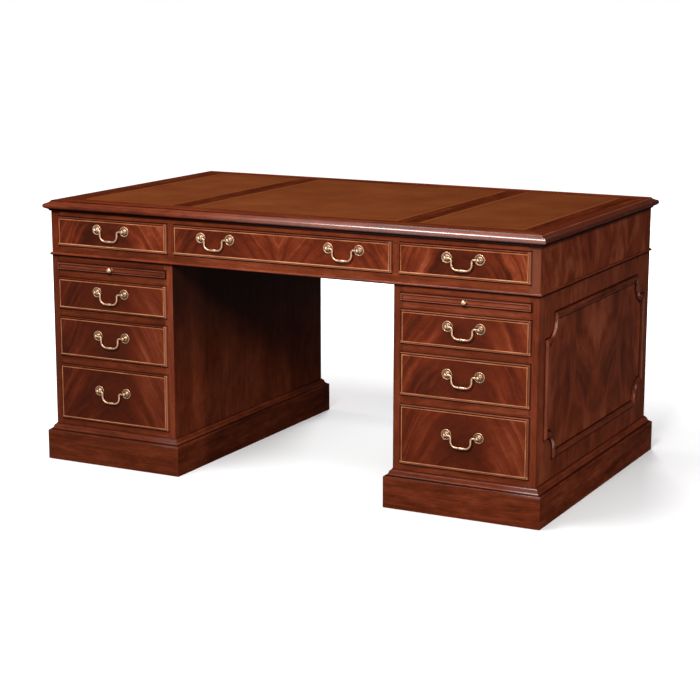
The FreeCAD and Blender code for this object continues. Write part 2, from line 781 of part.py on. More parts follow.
frieze_span = (frieze_foot + frieze_foot_reveal, frieze_top - frieze_top_reveal)
frieze_places = dict(zip(("left", "centre", "right"), frieze_openings()))
for row, degrees in (("front", 0), ("rear", 180)):
    for place, (left, right) in frieze_places.items():
        if row == "rear":
            left, right = -right, -left
        middle = (left + right) / 2
        offsets = (-centre_handle_offset, centre_handle_offset) if place == "centre" else (0,)
        add_drawer(f"{row}_{place}_drawer", left, right, frieze_span, -spine_face - back_gap,
                   [middle + offset for offset in offsets], handle_rise, degrees)

for side, sign in (("left", -1), ("right", 1)):
    middle = sign * pedestal_centre
    half = (opening_right - opening_left) / 2 + lip_overlap
    spans = {"top": top_span, "middle": middle_span, "bottom": bottom_span}
    for place, span in spans.items():
        rise = bottom_handle_rise if place == "bottom" else handle_rise
        add_drawer(f"{side}_{place}_drawer", middle - half, middle + half, span, partition_front - back_gap,
                   [middle], rise, 0)

os.makedirs("parts", exist_ok=True)
for name, pieces in nodes.items():
    shape = pieces[0] if len(pieces) == 1 else Part.Compound(pieces)
    shape.exportStep(f"parts/{name}.step")
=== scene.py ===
import bpy
import math
from mathutils import Matrix, Vector


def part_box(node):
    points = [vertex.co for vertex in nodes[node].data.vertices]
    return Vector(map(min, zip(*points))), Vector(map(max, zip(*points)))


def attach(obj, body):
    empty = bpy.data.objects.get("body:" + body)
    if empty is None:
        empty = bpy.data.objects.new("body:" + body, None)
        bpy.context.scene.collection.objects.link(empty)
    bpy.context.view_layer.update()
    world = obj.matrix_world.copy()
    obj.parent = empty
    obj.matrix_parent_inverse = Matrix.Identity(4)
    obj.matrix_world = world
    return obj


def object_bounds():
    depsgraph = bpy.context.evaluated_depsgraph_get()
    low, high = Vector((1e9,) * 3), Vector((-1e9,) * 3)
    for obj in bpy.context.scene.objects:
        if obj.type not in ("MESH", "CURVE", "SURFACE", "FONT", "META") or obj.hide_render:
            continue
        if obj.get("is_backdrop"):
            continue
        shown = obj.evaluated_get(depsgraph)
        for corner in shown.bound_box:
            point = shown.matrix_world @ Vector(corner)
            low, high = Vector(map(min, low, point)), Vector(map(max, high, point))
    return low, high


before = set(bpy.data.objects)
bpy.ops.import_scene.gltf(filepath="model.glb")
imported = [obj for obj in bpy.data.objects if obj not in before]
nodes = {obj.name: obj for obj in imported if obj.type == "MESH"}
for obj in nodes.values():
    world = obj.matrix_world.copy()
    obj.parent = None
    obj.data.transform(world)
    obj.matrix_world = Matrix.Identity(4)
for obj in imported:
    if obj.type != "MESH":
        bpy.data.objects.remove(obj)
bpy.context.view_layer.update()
bpy.ops.object.select_all(action="DESELECT")


# The view: the desk is seen from its front right corner, a little above the top. The camera's place
# and lens were worked out from the desk's corners. Lengths are in metres and angles in radians.
camera_place = (2.3887, -4.6861, 1.4108)
camera_yaw = 0.4734
camera_pitch = 0.2055
camera_roll = 0.002
focal_pixels = 1826.1
picture_pixels = 700
sensor_width = 36.0  # in millimetres, as a lens is given
bpy.ops.object.camera_add()
camera = bpy.context.object
camera.name = "desk_camera"
camera.data.sensor_width = sensor_width
camera.data.lens = focal_pixels / picture_pixels * sensor_width
camera.matrix_world = (Matrix.Translation(camera_place)
                       @ Matrix.Rotation(camera_yaw, 4, "Z")
                       @ Matrix.Rotation(math.pi / 2 - camera_pitch, 4, "X")
                       @ Matrix.Rotation(camera_roll, 4, "Z"))
bpy.context.scene.camera = camera
bpy.context.scene.view_settings.view_transform = "Standard"


# The moulded edge of the top: four lengths of solid mahogany, run with a hollow and a round nose,
# mitred at the corners and glued round the board. Stained red-brown and polished.
class Tone:
    """One value or colour in a finish. Sums on it add Math nodes, and add() brings in any other node."""

    def __init__(self, tree, socket):
        self.tree = tree
        self.socket = socket

    def add(self, kind, settings, values, output=0):
        """A new node of a kind: its settings are made first, and then the values or links of its sockets."""
        node = self.tree.nodes.new(kind)
        for name, setting in settings.items():
            if name == "stops":
                ramp = node.color_ramp.elements
                ramp[0].position = setting[0][0]
                ramp[-1].position = setting[-1][0]
                for position, _ in setting[1:-1]:
                    ramp.new(position)
                for stop, (_, colour) in zip(ramp, setting):
                    stop.color = (*colour, 1)
            else:
                setattr(node, name, setting)
        for key, value in values.items():
            if isinstance(value, Tone):
                self.tree.links.new(value.socket, node.inputs[key])
            else:
                node.inputs[key].default_value = value
        return Tone(self.tree, node.outputs[output])

    def math(self, operation, first, second=0.0):
        return self.add("ShaderNodeMath", {"operation": operation}, {0: first, 1: second})

    def __add__(self, other):
        return self.math("ADD", self, other)

    def __radd__(self, other):
        return self.math("ADD", other, self)

    def __sub__(self, other):
        return self.math("SUBTRACT", self, other)

    def __rsub__(self, other):
        return self.math("SUBTRACT", other, self)

    def __mul__(self, other):
        return self.math("MULTIPLY", self, other)

    def __rmul__(self, other):
        return self.math("MULTIPLY", other, self)

    def __truediv__(self, other):
        return self.math("DIVIDE", self, other)

    def __abs__(self):
        return self.math("ABSOLUTE", self)

    def __gt__(self, other):
        return self.math("GREATER_THAN", self, other)

    def __lt__(self, other):
        return self.math("LESS_THAN", self, other)

    def least(self, other):
        return self.math("MINIMUM", self, other)

    def most(self, other):
        return self.math("MAXIMUM", self, other)

    def root(self):
        return self.math("SQRT", self)

    def fraction(self):
        return self.math("FRACT", self)

    def swing(self, share, middle=0.5):
        """A share of how far this value stands from its middle."""
        return (self - middle) * share

    def ease(self, low, high):
        """0 up to low, 1 from high, and a smooth step between them."""
        values = {"Value": self, "From Min": low, "From Max": high}
        return self.add("ShaderNodeMapRange", {"interpolation_type": "SMOOTHSTEP"}, values)

    def between(self, first, second):
        """The first value where this mask is 0, the second where it is 1."""
        return first + (second - first) * self

    def stain(self, first, second):
        """The first colour where this mask is 0, the second where it is 1."""
        first, second = [c if isinstance(c, Tone) else (*c, 1) for c in (first, second)]
        return self.add("ShaderNodeMix", {"data_type": "RGBA"}, {0: self, 6: first, 7: second}, 2)

    def ramp(self, *stops):
        return self.add("ShaderNodeValToRGB", {"stops": stops}, {0: self})

    def facing(self, axis):
        """How far the surface faces along an axis, from -1 to 1."""
        normal = self.add("ShaderNodeTexCoord", {}, {}, "Normal")
        return self.add("ShaderNodeSeparateXYZ", {}, {0: normal}, axis)

    def clouds(self, y, z, detail=2.0, roughness=0.5, distortion=0.0):
        """Soft noise at (this, y, z), with one blob to each unit of length."""
        place = self.add("ShaderNodeCombineXYZ", {}, {0: self, 1: y, 2: z})
        return self.add("ShaderNodeTexNoise", {}, {"Vector": place, "Scale": 1.0, "Detail": detail,
                                                   "Roughness": roughness, "Distortion": distortion})


def new_finish(name):
    """An empty material and the three coordinates of a point on the piece."""
    material = bpy.data.materials.new(name)
    material.use_nodes = True
    tree = material.node_tree
    tree.nodes.clear()
    place = Tone(tree, tree.nodes.new("ShaderNodeTexCoord").outputs["Object"])
    x, y, z = [place.add("ShaderNodeSeparateXYZ", {}, {0: place}, axis) for axis in range(3)]
    return material, x, y, z


def lay_finish(material, colour, roughness, relief, relief_depth, other_sockets):
    """Close a material: its colour, roughness and fine relief, and what its other sockets hold."""
    bump = relief.add("ShaderNodeBump", {}, {"Height": relief, "Distance": relief_depth, "Strength": 1.0})
    values = {"Base Color": colour, "Roughness": roughness, "Normal": bump}
    values.update(other_sockets)
    surface = relief.add("ShaderNodeBsdfPrincipled", {}, values)
    output = material.node_tree.nodes.new("ShaderNodeOutputMaterial")
    material.node_tree.links.new(surface.socket, output.inputs["Surface"])
    return material


def dress(node, material):
    """Give a node of the desk its finish."""
    mesh_slots = nodes[node].material_slots
    if len(mesh_slots) == 0:
        nodes[node].data.materials.append(material)
    for slot in mesh_slots:
        slot.material = material


mahogany_stops = ((0.28, (0.076, 0.0140, 0.0048)), (0.45, (0.144, 0.0262, 0.0086)),
                  (0.58, (0.210, 0.0410, 0.0148)), (0.74, (0.300, 0.0690, 0.0280)))
dark_pore = (0.030, 0.006, 0.004)
pore_share = 0.35
# Near-black brown laid where shade falls, in joints, grooves and under overhangs: painted shade, with some
# real dark wax in the joints.
shade_and_wax_brown = (0.012, 0.003, 0.002)
wood_roughness = (0.30, 0.42)  # where the tone is 0 and where it is 1
grain_depth = 0.00008
# Blobs of figure in a metre of plain mahogany, along its grain and across it.
ribbons = (2.6, 24.0)
streaks = (7.0, 210.0)
patches = (20.0, 60.0)
pores = (70.0, 1100.0)
pore_edge = (0.60, 0.74)


def polished(weight, index=1.5):
    """French polish as a thin clear coat. Its weight may change over a piece."""
    return {"Specular IOR Level": 0.0, "Coat Weight": weight, "Coat Roughness": 0.16, "Coat IOR": index}


def shaded(stops, share):
    """The colours of a ramp, each brought down to a share of itself."""
    return [(at, tuple(part * share for part in colour)) for at, colour in stops]


def straight_grain(along, across, through, seed, figure=1.0):
    """Plain mahogany: ribbons and streaks along the grain, as a tone near 0.5, and its open pores."""
    ribbon = (along * ribbons[0]).clouds(across * ribbons[1] + seed, through * ribbons[1],
                                         detail=3.0, roughness=0.55, distortion=0.5)
    streak = (along * streaks[0]).clouds(across * streaks[1] + seed, through * streaks[1])
    patch = (along * patches[0]).clouds(across * patches[1], through * patches[1] + seed,
                                        detail=3.0, roughness=0.6, distortion=0.4)
    pore = (along * pores[0]).clouds(across * pores[1], through * pores[1] + seed, detail=1.0)
    tone = 0.5 + (ribbon.swing(0.66) + streak.swing(0.26) + patch.swing(0.44)) * figure
    return tone, pore.ease(*pore_edge)


def lay_mahogany(material, tone, pore, polish, dark=1.0, shade_and_wax=None, index=1.5):
    """Stain, pores and polish over a grain tone, and painted shade, with some dark wax in the joints, where
    its mask is 1.
    """
    colour = tone.ramp(*shaded(mahogany_stops, dark))
    colour = (pore * pore_share).stain(colour, dark_pore)
    if shade_and_wax is not None:
        colour = shade_and_wax.stain(colour, shade_and_wax_brown)
        polish = (1 - shade_and_wax) * polish
    return lay_finish(material, colour, tone.between(*wood_roughness), tone * 0.3 - pore, grain_depth,
                      polished(polish, index))


top_low, top_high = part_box("top_edging")
# Levels on the moulding, from its flat top down: where each line or band of the finish begins and is full.
flat_level = top_high.z - 0.0006
arris_levels = (top_high.z - 0.0042, top_high.z - 0.0020)
crown_foot = (top_high.z - 0.0160, top_high.z - 0.0120)
crown_head = (top_high.z - 0.0078, top_high.z - 0.0066)
cove_head = (top_low.z + 0.0060, top_low.z + 0.0085)
light_and_polish_stretch = (-0.40, 0.25)  # along the front, which is painted lighter and polished more towards its right, where the light falls
painted_light_lift = (-0.06, 0.02)  # of the tone, at the left and at the right: painted light, brighter where more light falls
end_shade_drop = (0.28, 0.16)  # of the tone of an end piece, on its moulding and on its flat: painted shade, as the ends face away from the light
flat_drop = 0.08
painted_arris_highlight = 0.40
rubbed_gloss = (0.06, 1.0)  # at the left and at the right
crown_gloss = (0.45, 1.0)  # off the crown of the nose and on it
end_gloss = (0.02, 0.06)  # off the arris and on it
arris_joint_shade = 0.75
cove_shadow = 0.92
edge_index = 2.1
material, x, y, z = new_finish("moulded_top_edge")
# The dark line at the arris of the front is painted shade over the joint. The dark cove under the nose is
# painted shadow. The light line at each end's arris is a painted highlight.
end_piece = (top_high.y - abs(y)) > (top_high.x - abs(x))
front_tone, front_pore = straight_grain(x, y, z, seed=3.0)
end_tone, end_pore = straight_grain(y, x, z, seed=9.0)
sheen_and_light = x.ease(*light_and_polish_stretch)
flat = z > flat_level
arris = z.ease(*arris_levels) * (1 - flat)
cove = 1 - z.ease(*cove_head)
crown = z.ease(*crown_foot) * (1 - z.ease(*crown_head))
edge_tone = end_piece.between(front_tone + sheen_and_light.between(*painted_light_lift), end_tone - flat.between(*end_shade_drop))
edge_tone = edge_tone - flat * flat_drop + arris * end_piece * painted_arris_highlight
front_gloss = sheen_and_light.between(*rubbed_gloss) * crown.between(*crown_gloss)
gloss = end_piece.between(front_gloss, arris.between(*end_gloss)) * (1 - flat)
shade_and_wax = (arris * (1 - end_piece) * arris_joint_shade).most(cove * cove_shadow)
dress("top_edging", lay_mahogany(material, edge_tone, end_piece.between(front_pore, end_pore), gloss,
                                 shade_and_wax=shade_and_wax, index=edge_index))


# The board of the top: mahogany veneer on a thick core, which shows as the borders round and between
# the leathers. The long borders run with the desk and the short ones across it. Waxed dull.
leather_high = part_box("leathers")[1]
long_drop = 0.06
short_drop = 0.10
border_dark = 0.56
border_gloss = 0.0
material, x, y, z = new_finish("veneered_top_board")
across_border = abs(y) < leather_high.y
long_tone, long_pore = straight_grain(x, y, z, seed=21.0)
short_tone, short_pore = straight_grain(y, x, z, seed=27.0)
border_tone = across_border.between(long_tone - long_drop, short_tone - short_drop)
dress("top_board", lay_mahogany(material, border_tone, across_border.between(long_pore, short_pore),
                                border_gloss, border_dark))


# The three leathers: mid-brown hide, pasted into shallow beds in the top, with a blind line and a thin
# gilt line tooled round each one. Waxed, rubbed paler in the middle and darker towards its edges.
centre_leather_half = 0.320
side_leather_inner = 0.380
line_inset = 0.0075
line_edge = (0.00072, 0.00168)  # from the middle of the line, where it begins to fade and where it ends
blind_line_inset = 0.0225
blind_line_edge = (0.0006, 0.0018)
dark_margin = 0.030
hide_stops = ((0.30, (0.093, 0.0212, 0.0063)), (0.50, (0.121, 0.0302, 0.0090)),
              (0.72, (0.153, 0.0425, 0.0129)))
margin_brown = (0.105, 0.025, 0.0065)
margin_share = 0.5
blind_brown = (0.070, 0.016, 0.005)
blind_share = 0.5
old_gilt = (0.300, 0.120, 0.040)
gilt_share = 0.45
hide_depth = 0.00025
material, x, y, z = new_finish("tooled_leather")
in_centre = abs(x) < (centre_leather_half + side_leather_inner) / 2
side_inset = (abs(x) - side_leather_inner).least(leather_high.x - abs(x))
inset = in_centre.between(side_inset, centre_leather_half - abs(x)).least(leather_high.y - abs(y))
line = 1 - abs(inset - line_inset).ease(*line_edge)
blind_line = 1 - abs(inset - blind_line_inset).ease(*blind_line_edge)
mottle = (x * 7.0).clouds(y * 7.0, z, detail=4.0, roughness=0.6)
pebble = (x * 900.0).clouds(y * 900.0, z * 900.0)
crease = (x * 160.0).clouds(y * 160.0, z, detail=3.0, roughness=0.65)
colour = (mottle * 0.6 + crease * 0.2 + pebble * 0.2).ramp(*hide_stops)
colour = ((1 - inset.ease(0.0, dark_margin)) * margin_share).stain(colour, margin_brown)
colour = (blind_line * blind_share).stain(colour, blind_brown)
colour = (line * gilt_share).stain(colour, old_gilt)
relief = pebble * 0.5 + crease * 0.5 - line * 1.2 - blind_line * 1.5
dress("leathers", lay_finish(material, colour, 0.46 + pebble * 0.14 - line * 0.1, relief, hide_depth,
                             {"Specular IOR Level": 0.0}))


# The frieze: front and rear rails with short muntins tenoned between them, and the case behind, with its
# veneered ends. Rails run along the desk, muntins and ends have upright grain, inner boards are plain.
def joint_line(x, z, fronts, reach, sides=1.0, core_share=0.4):
    """A mask along the outline of each front, for painted shade with some dark wax in the joint, and the
    share of it left at the sides.
    """
    line = None
    for low, high in fronts:
        beside = abs(x - (low.x + high.x) / 2) - (high.x - low.x) / 2
        above = abs(z - (low.z + high.z) / 2) - (high.z - low.z) / 2
        near = 1 - abs(beside.most(above)).ease(reach * core_share, reach)
        near = near * (beside > above).between(1.0, sides)
        line = near if line is None else line.most(near)
    return line


frieze_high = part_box("frieze_frame")[1]
frieze_fronts = [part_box("front_%s_drawer" % place) for place in ("left", "centre", "right")]
drawer_low, drawer_high = frieze_fronts[1]
lip_overlap = 0.006
halves = (-0.1, 0.1)  # where the look of the left half gives way to that of the right half
rail_joint_reach = 0.0032
rail_joint_sides = 0.35
# Painted shadow just under the overhang of the top, on the rails and on the ends.
rail_under_top_shadow = (top_low.z - 0.006, top_low.z - 0.001)
joint_shade = 0.9
under_top_shade = 0.8
frieze_rail_lift = 0.02
muntin_light_lift = (-0.03, 0.09)  # in the left half and in the right half: painted lighter on the right, where more light falls
rail_gloss = 0.04
material, x, y, z = new_finish("frieze_rails")
is_muntin = (z > drawer_low.z + lip_overlap) * (z < drawer_high.z - lip_overlap)
rail_tone, rail_pore = straight_grain(x, y, z, seed=33.0)
muntin_tone, muntin_pore = straight_grain(z, x, y, seed=39.0)
muntin_tone = muntin_tone + x.ease(*halves).between(*muntin_light_lift)
# Painted shade round the drawer fronts, and painted shadow under the overhang of the top.
shade_and_wax = joint_line(x, z, frieze_fronts, rail_joint_reach, rail_joint_sides) * joint_shade
shade_and_wax = shade_and_wax.most(z.ease(*rail_under_top_shadow) * under_top_shade)
dress("frieze_frame", lay_mahogany(material, is_muntin.between(rail_tone + frieze_rail_lift, muntin_tone),
                                   is_muntin.between(rail_pore, muntin_pore), rail_gloss, shade_and_wax=shade_and_wax))

lining_stops = ((0.28, (0.150, 0.070, 0.030)), (0.50, (0.255, 0.135, 0.062)), (0.74, (0.360, 0.210, 0.105)))
lining_pore = (0.11, 0.05, 0.02)
lining_pore_share = 0.3
lining_roughness = 0.62


def lining_wood(along, across, through, seed):
    """The paler, unpolished wood of inner boards and drawer linings."""
    tone, pore = straight_grain(along, across, through, seed)
    return (pore * lining_pore_share).stain(tone.ramp(*lining_stops), lining_pore), tone


flame_stops = ((0.24, (0.046, 0.0088, 0.0040)), (0.38, (0.083, 0.0140, 0.0054)),
               (0.52, (0.134, 0.0208, 0.0068)), (0.68, (0.205, 0.0360, 0.0128)),
               (0.86, (0.300, 0.0720, 0.0290)))
veneer_pore_share = 0.3
end_skin = 0.00008
upright_grain_share = 0.45  # of the ribbons of a rail, across the same width of upright veneer
end_level = 0.69
end_shade_to_rear = 0.10  # of the tone, for each metre towards the rear: painted shade, away from the light
end_joint_reach = 0.0045
end_joint_sides = 0.45
end_under_top_shadow = (top_low.z - 0.012, top_low.z - 0.003)
stile_shade_drop = (0.16, 0.07)  # of the tone, in the left half and in the right half: painted shade, deeper on the left where less light falls
# A pinkish painted highlight on the stiles of the right half, where light catches them.
painted_stile_highlight = (0.190, 0.072, 0.044)
stile_highlight_share = 0.5
veneer_gloss = 0.012
material, x, y, z = new_finish("frieze_case_and_ends")
is_end = abs(x) > frieze_high.x + end_skin
is_stile = abs(x.facing(1)) > 0.5
in_right_half = x.ease(*halves)
end_tone, end_pore = straight_grain(z, y * upright_grain_share, x, seed=45.0)
cloud = (y * 11.0).clouds(z * 7.0, x, detail=3.0, distortion=1.2)
end_tone = end_level + end_tone.swing(0.5) + cloud.swing(1.0) - y * end_shade_to_rear
end_tone = end_tone - is_stile * in_right_half.between(*stile_shade_drop)
end_colour = (end_pore * veneer_pore_share).stain(end_tone.ramp(*flame_stops), dark_pore)
end_colour = (is_stile * in_right_half * stile_highlight_share).stain(end_colour, painted_stile_highlight)
shade_and_wax = joint_line(x, z, frieze_fronts, end_joint_reach, end_joint_sides) * joint_shade
shade_and_wax = shade_and_wax.most(z.ease(*end_under_top_shadow) * under_top_shade)
end_colour = shade_and_wax.stain(end_colour, shade_and_wax_brown)
inner_colour, inner_tone = lining_wood(x, y, z, seed=51.0)
dress("frieze_case", lay_finish(material, is_end.stain(inner_colour, end_colour),
                                is_end.between(lining_roughness, end_tone.between(*wood_roughness)),
                                is_end.between(inner_tone, end_tone), grain_depth,
                                polished(is_end * veneer_gloss)))


# The waist bead: a half-round mahogany strip that is pinned round the desk over the joint between the
# frieze and the pedestals, mitred at the corners.
bead_low, bead_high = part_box("waist_bead")
bead_height = bead_high.z - bead_low.z
bead_underside = (bead_low.z + bead_height * 0.25, bead_low.z + bead_height * 0.50)
bead_rubbed_stretch = (-0.40, 0.50)
bead_gloss = (0.15, 0.55)  # at the left and at the right of the front
bead_end_gloss = 0.02
underside_shadow = 0.9
material, x, y, z = new_finish("waist_bead")
end_piece = (bead_high.y - abs(y)) > (bead_high.x - abs(x))
front_tone, front_pore = straight_grain(x, y, z, seed=57.0)
end_tone, end_pore = straight_grain(y, x, z, seed=63.0)
front_gloss = x.ease(*bead_rubbed_stretch).between(*bead_gloss)
# Painted shadow on the lower half of the bead.
underside = 1 - z.ease(*bead_underside)
dress("waist_bead", lay_mahogany(material, end_piece.between(front_tone, end_tone),
                                 end_piece.between(front_pore, end_pore),
                                 end_piece.between(front_gloss, bead_end_gloss),
                                 shade_and_wax=underside * underside_shadow))


# The drawers: lipped fronts faced with flame veneer, which rises in plumes about the middle of each leaf,
# and linings of paler wood that are dovetailed into the back of the front.
front_depth = 0.0203  # the lip, the gap behind it and the tongue inside the opening
tail_length = 0.009
tail_pitch = 0.030
tail_flare = 0.002
tail_width_share = 0.5
least_tails = 2
drawer_side = 0.011
side_gap = 0.001
foot_gap = 0.0003
head_room = 0.0065
lining_skin = 0.00005
# Painted shade, painted highlights and polish on the front, measured in from its edge or up from its foot.
lip_border = 0.0045
head_highlight_band = 0.0027
quirk_inset = 0.0042
quirk_reach = (0.0008, 0.0016)
foot_line = (0.0006, 0.0018)
rim_reach = 0.0010
rim_shade = 0.5
quirk_shade = (0.9, 0.3)  # elsewhere, and along the foot and the end with the painted highlight
foot_shadow = 0.9
front_polish = (0.04, 0.10)  # on the field and on the lip
veneer_depth = 0.00006
leaf_roughness = (0.27, 0.41)
leaf_pore_share = 0.2
drawer_lining_roughness = 0.60
leaf_slope = 1.5
painted_lip_highlight = (0.52, 0.185, 0.098)
# By row of drawers: how strong the painted highlight on the lip is along its foot, along its end towards +X
# and along its head.
foot_highlight = {"front": 0.78, "rear": 0.60, "left": 0.26, "right": 0.84}
end_highlight = {"front": 0.46, "rear": 0.40, "left": 0.62, "right": 0.24}
head_highlight = {"front": 0.14, "rear": 0.10, "left": 0.03, "right": 0.26}
# By row: how much paler a leaf is painted towards +X, where more light falls, how strong its figure is, and
# how deep its colour, painted darker in the left pedestal where less light falls.
leaf_light_tilt = {"front": 0.12, "rear": 0.04, "left": 0.09, "right": 0.04}
leaf_figure = {"front": 1.5, "rear": 1.4, "left": 0.9, "right": 1.0}
leaf_painted_shade = {"front": 1.0, "rear": 1.0, "left": 0.77, "right": 1.0}
centre_tilt_share = 0.6
# Bottom drawers are painted darker, as painted shade where less light reaches them.
bottom_painted_shade = 0.88
leaf_lift = {"front_centre_drawer": 0.03, "front_right_drawer": -0.030, "left_bottom_drawer": 0.01}


def row_of(drawer):
    """The row that a drawer belongs to: front or rear of the frieze, left or right pedestal."""
    return drawer.split("_")[0]


def flame_tone(across, up, seed, half, slope, figure=1.0):
    """Crotch veneer: a plain dark core, with feathers that fall away from it to both sides."""
    off_core = abs(across) / half
    sway = (across * 8.0).clouds(up * 8.0, seed, detail=3.0) - 0.5
    bow = (across * across + (half * 0.35) ** 2).root()
    fall = up + bow * slope * (0.5 + off_core * 0.5) + sway * 0.10
    broad = (across * 6.0).clouds(fall * 10.0, seed)
    feather = (across * 10.0).clouds(fall * 34.0, seed + 3.0, roughness=0.55)
    fine = (across * 20.0).clouds(fall * 140.0, seed + 5.0, roughness=0.6)
    flank = (off_core + sway * 0.6).ease(0.18, 0.70)
    mottle = (across * 26.0).clouds(up * 30.0, seed + 7.0, detail=3.0, roughness=0.65, distortion=1.2)
    plume = (broad.swing(0.85) + feather.swing(0.58) + fine.swing(0.24)) * flank.between(0.30, 1.0)
    return 0.42 + (plume + mottle.swing(0.22)) * figure + flank * 0.12


def drawer_lining(x, z, behind, low, high):
    """A mask of the drawer's box: all that lies behind the front, and the tails of the sides in its ends."""
    tail_foot = low.z + lip_overlap + foot_gap
    side_top = high.z - lip_overlap - head_room
    tail_count = max(least_tails, round((side_top - tail_foot) / tail_pitch))
    pitch = (side_top - tail_foot) / tail_count
    phase = ((z - tail_foot) / pitch).fraction()
    spread = pitch * tail_width_share / 2 + (front_depth - behind) * (tail_flare / tail_length)
    side_inner = (high.x - low.x) / 2 - lip_overlap - side_gap - drawer_side
    in_tail = (abs(phase - 0.5) * pitch < spread) * (behind > front_depth - tail_length)
    in_tail = in_tail * (abs(x - (low.x + high.x) / 2) > side_inner) * (z < side_top)
    return (behind > front_depth + lining_skin).most(in_tail)


drawers = [name for name in nodes if name.endswith("_drawer")]
for index, name in enumerate(drawers):
    low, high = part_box(name)
    middle = (low + high) / 2
    half_width = (high.x - low.x) / 2
    row = row_of(name)
    material, x, y, z = new_finish(name + "_veneer")
    faces_front = abs(low.y) > abs(high.y)
    behind = y - low.y if faces_front else high.y - y
    leaf_half = half_width
    across = x - middle.x
    light_tilt = leaf_light_tilt[row]
    if "centre" in name:
        leaf_half = half_width / 2
        across = abs(across) - leaf_half
        light_tilt = light_tilt * centre_tilt_share
    tone = flame_tone(across, z - middle.z, seed=11.0 + 3.7 * index, half=leaf_half, slope=leaf_slope,
                      figure=leaf_figure[row])
    tone = tone + (x - middle.x) / half_width * light_tilt + leaf_lift.get(name, 0.0)
    inset = (half_width - abs(x - middle.x)).least(high.z - middle.z - abs(z - middle.z))
    on_lip = inset < lip_border
    lip_tone, pore = straight_grain(x, y, z, seed=70.0 + index)
    front_tone = on_lip.between(tone, lip_tone)
    painted_shade_share = leaf_painted_shade[row] * (bottom_painted_shade if "bottom" in name else 1.0)
    front_colour = front_tone.ramp(*shaded(flame_stops, painted_shade_share))
    front_colour = (pore * leaf_pore_share).stain(front_colour, dark_pore)
    at_foot = z < low.z + 2 * lip_border
    at_end = x > high.x - 2 * lip_border
    at_head = z > high.z - head_highlight_band
    sheen_and_light = (at_foot * foot_highlight[row]).most(at_end * end_highlight[row]).most(at_head * head_highlight[row])
    # Painted highlight on the lip, standing in for light and the floor's reflection on the moulded edge.
    front_colour = (on_lip * sheen_and_light).stain(front_colour, painted_lip_highlight)
    # Painted shade in the quirk inside the lip and round the rim, and painted shadow under the foot of the
    # lip.
    quirk = 1 - abs(inset - quirk_inset).ease(*quirk_reach)
    under_foot = 1 - z.ease(low.z + foot_line[0], low.z + foot_line[1])
    shade_and_wax = (joint_line(x, z, [(low, high)], rim_reach) * rim_shade).most(under_foot * foot_shadow)
    shade_and_wax = shade_and_wax.most(quirk * at_foot.most(at_end).between(*quirk_shade)) * (behind < front_depth)
    front_colour = shade_and_wax.stain(front_colour, shade_and_wax_brown)
    is_lining = drawer_lining(x, z, behind, low, high)
    lining_colour, lining_tone = lining_wood(y, x, z, seed=90.0 + index)
    dress(name, lay_finish(material, is_lining.stain(front_colour, lining_colour),
                           is_lining.between(front_tone.between(*leaf_roughness), drawer_lining_roughness),
                           is_lining.between(front_tone * 0.3, lining_tone), veneer_depth,
                           polished((1 - is_lining) * (1 - shade_and_wax) * on_lip.between(*front_polish))))


# Stringing: a thin line of pale satinwood let into each drawer front, just inside its rounded lip,
# mitred at the corners and scraped almost flush with the veneer.
stringing_inset = 0.0054
stringing_width = 0.0025
stringing_proud = 0.00012
stringing_depth = 0.0008
satinwood_stops = ((0.34, (0.25, 0.074, 0.029)), (0.52, (0.46, 0.158, 0.064)), (0.70, (0.66, 0.275, 0.122)),
                   (0.82, (0.80, 0.370, 0.180)))
satinwood_roughness = (0.30, 0.40)
satinwood_relief = 0.00005
satinwood_gloss = 0.03
foot_painted_light = {"front": 0.20, "rear": 0.08, "left": 0.12, "right": 0.08}  # by row: painted light along the foot, standing in for the floor's reflection
for name in drawers:
    low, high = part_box(name)
    material, x, y, z = new_finish(name + "_satinwood")
    glow = (x * 18.0).clouds(y * 18.0, z * 18.0, detail=3.0)
    speck = (x * 300.0).clouds(y * 300.0, z * 300.0)
    at_foot = z < low.z + stringing_inset + stringing_width
    tone = glow * 0.7 + speck * 0.3 + at_foot * foot_painted_light[row_of(name)]
    satinwood = lay_finish(material, tone.ramp(*satinwood_stops), tone.between(*satinwood_roughness), tone,
                           satinwood_relief, polished(satinwood_gloss))
    faces_front = abs(low.y) > abs(high.y)
    face = low.y - stringing_proud if faces_front else high.y + stringing_proud
    turn = math.pi / 2 if faces_front else -math.pi / 2
    bpy.ops.object.select_all(action="DESELECT")
    bpy.ops.mesh.primitive_plane_add(size=1, location=((low.x + high.x) / 2, face, (low.z + high.z) / 2),
                                     rotation=(turn, 0, 0))
    string = bpy.context.object
    string.name = name + "_stringing"
    string.scale = (high.x - low.x - 2 * stringing_inset, high.z - low.z - 2 * stringing_inset, 1)
    bpy.ops.object.transform_apply(location=True, rotation=True, scale=True)
    bpy.ops.object.mode_set(mode="EDIT")
    bpy.ops.mesh.select_all(action="SELECT")
    bpy.ops.mesh.inset(thickness=stringing_width)
    bpy.ops.mesh.delete(type="FACE")
    bpy.ops.object.mode_set(mode="OBJECT")
    wall = string.modifiers.new("inlay_depth", "SOLIDIFY")
    wall.thickness = stringing_depth
    wall.offset = -1
    bpy.ops.object.modifier_apply(modifier=wall.name)
    string.data.materials.append(satinwood)
    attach(string, name)


